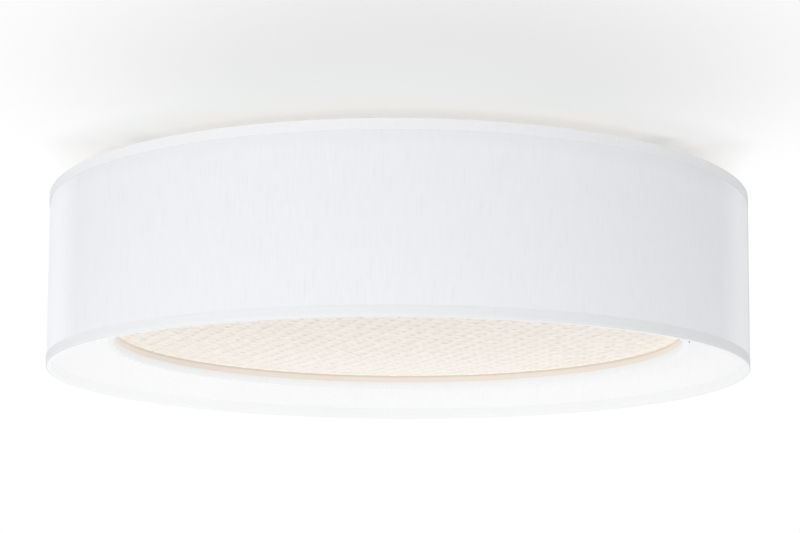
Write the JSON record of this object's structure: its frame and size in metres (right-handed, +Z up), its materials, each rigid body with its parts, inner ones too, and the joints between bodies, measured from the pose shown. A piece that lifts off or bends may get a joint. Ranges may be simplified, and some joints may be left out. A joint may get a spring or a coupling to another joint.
{
  "type": "flush mount ceiling light",
  "caption": "Flush mount ceiling light: a wide low linen drum round a smaller drum, closed below by a lit prismatic diffuser and hung from a folded steel pan.",
  "frame": {"origin": "middle of the ceiling plane, midway between the two box screws", "axes": "+Z up into the ceiling, -Y towards the viewer in the room, +X to the viewer's right"},
  "size_m": [0.5, 0.5, 0.13],
  "materials": {
    "zinc_steel": "satin",
    "white_pan": "satin",
    "white_bracket": "satin",
    "white_hoop": "satin",
    "seat_hoop": "satin",
    "grommet_rubber": "matte",
    "block_plastic": "satin",
    "earth_brass": "satin",
    "driver_plastic": "matte",
    "connector_plastic": "satin",
    "lead_sheath": "satin",
    "earth_sheath": "satin",
    "linen": "matte",
    "inner_linen": "matte",
    "prismatic_acrylic": "gloss",
    "led_board": "satin",
    "led_package": "satin"
  },
  "bodies": {
    "ceiling_base": {"mounting_bar": "zinc_steel", "bar_studs": "zinc_steel", "pan_nuts": "zinc_steel", "ceiling_pan": "white_pan", "carrier_studs": "zinc_steel", "cable_grommet": "grommet_rubber", "terminal_block": "block_plastic", "earth_screw": "earth_brass", "driver_case": "driver_plastic", "led_connectors": "connector_plastic", "supply_lead": "lead_sheath", "earth_lead": "earth_sheath", "led_lead": "lead_sheath", "led_bar_1": "led_board", "led_bar_2": "led_board", "led_bar_3": "led_board", "led_bar_4": "led_board", "led_row_1": "led_package", "led_row_2": "led_package", "led_row_3": "led_package", "led_row_4": "led_package", "led_link_1": "lead_sheath", "led_link_2": "lead_sheath", "led_link_3": "lead_sheath"},
    "shade": {"outer_panel": "linen", "outer_top_hoop": "white_hoop", "outer_bottom_hoop": "white_hoop", "inner_panel": "inner_linen", "inner_top_hoop": "white_hoop", "diffuser_seat_hoop": "seat_hoop", "shade_bracket_1": "white_bracket", "shade_bracket_2": "white_bracket", "shade_bracket_3": "white_bracket", "shade_bracket_4": "white_bracket"},
    "diffuser_panel": {"diffuser": "prismatic_acrylic"},
    "nut_1": {"shade_nut_1": "zinc_steel"},
    "nut_2": {"shade_nut_2": "zinc_steel"},
    "nut_3": {"shade_nut_3": "zinc_steel"},
    "nut_4": {"shade_nut_4": "zinc_steel"}
  },
  "joints": [
    {"name": "shade_drop", "type": "slide", "parent": "ceiling_base", "child": "shade", "axis": [0, 0, -1], "range_m": [0, 0.12]},
    {"name": "diffuser_lift", "type": "slide", "parent": "shade", "child": "diffuser_panel", "axis": [0, 0, 1], "range_m": [0, 0.055]},
    {"name": "nut_turn_1", "type": "hinge", "parent": "shade", "child": "nut_1", "pos_m": [0.11102, 0.11102, -0.018], "axis": [0, 0, 1], "continuous": true},
    {"name": "nut_turn_2", "type": "hinge", "parent": "shade", "child": "nut_2", "pos_m": [-0.11102, 0.11102, -0.018], "axis": [0, 0, 1], "continuous": true},
    {"name": "nut_turn_3", "type": "hinge", "parent": "shade", "child": "nut_3", "pos_m": [-0.11102, -0.11102, -0.018], "axis": [0, 0, 1], "continuous": true},
    {"name": "nut_turn_4", "type": "hinge", "parent": "shade", "child": "nut_4", "pos_m": [0.11102, -0.11102, -0.018], "axis": [0, 0, 1], "continuous": true}
  ]
}
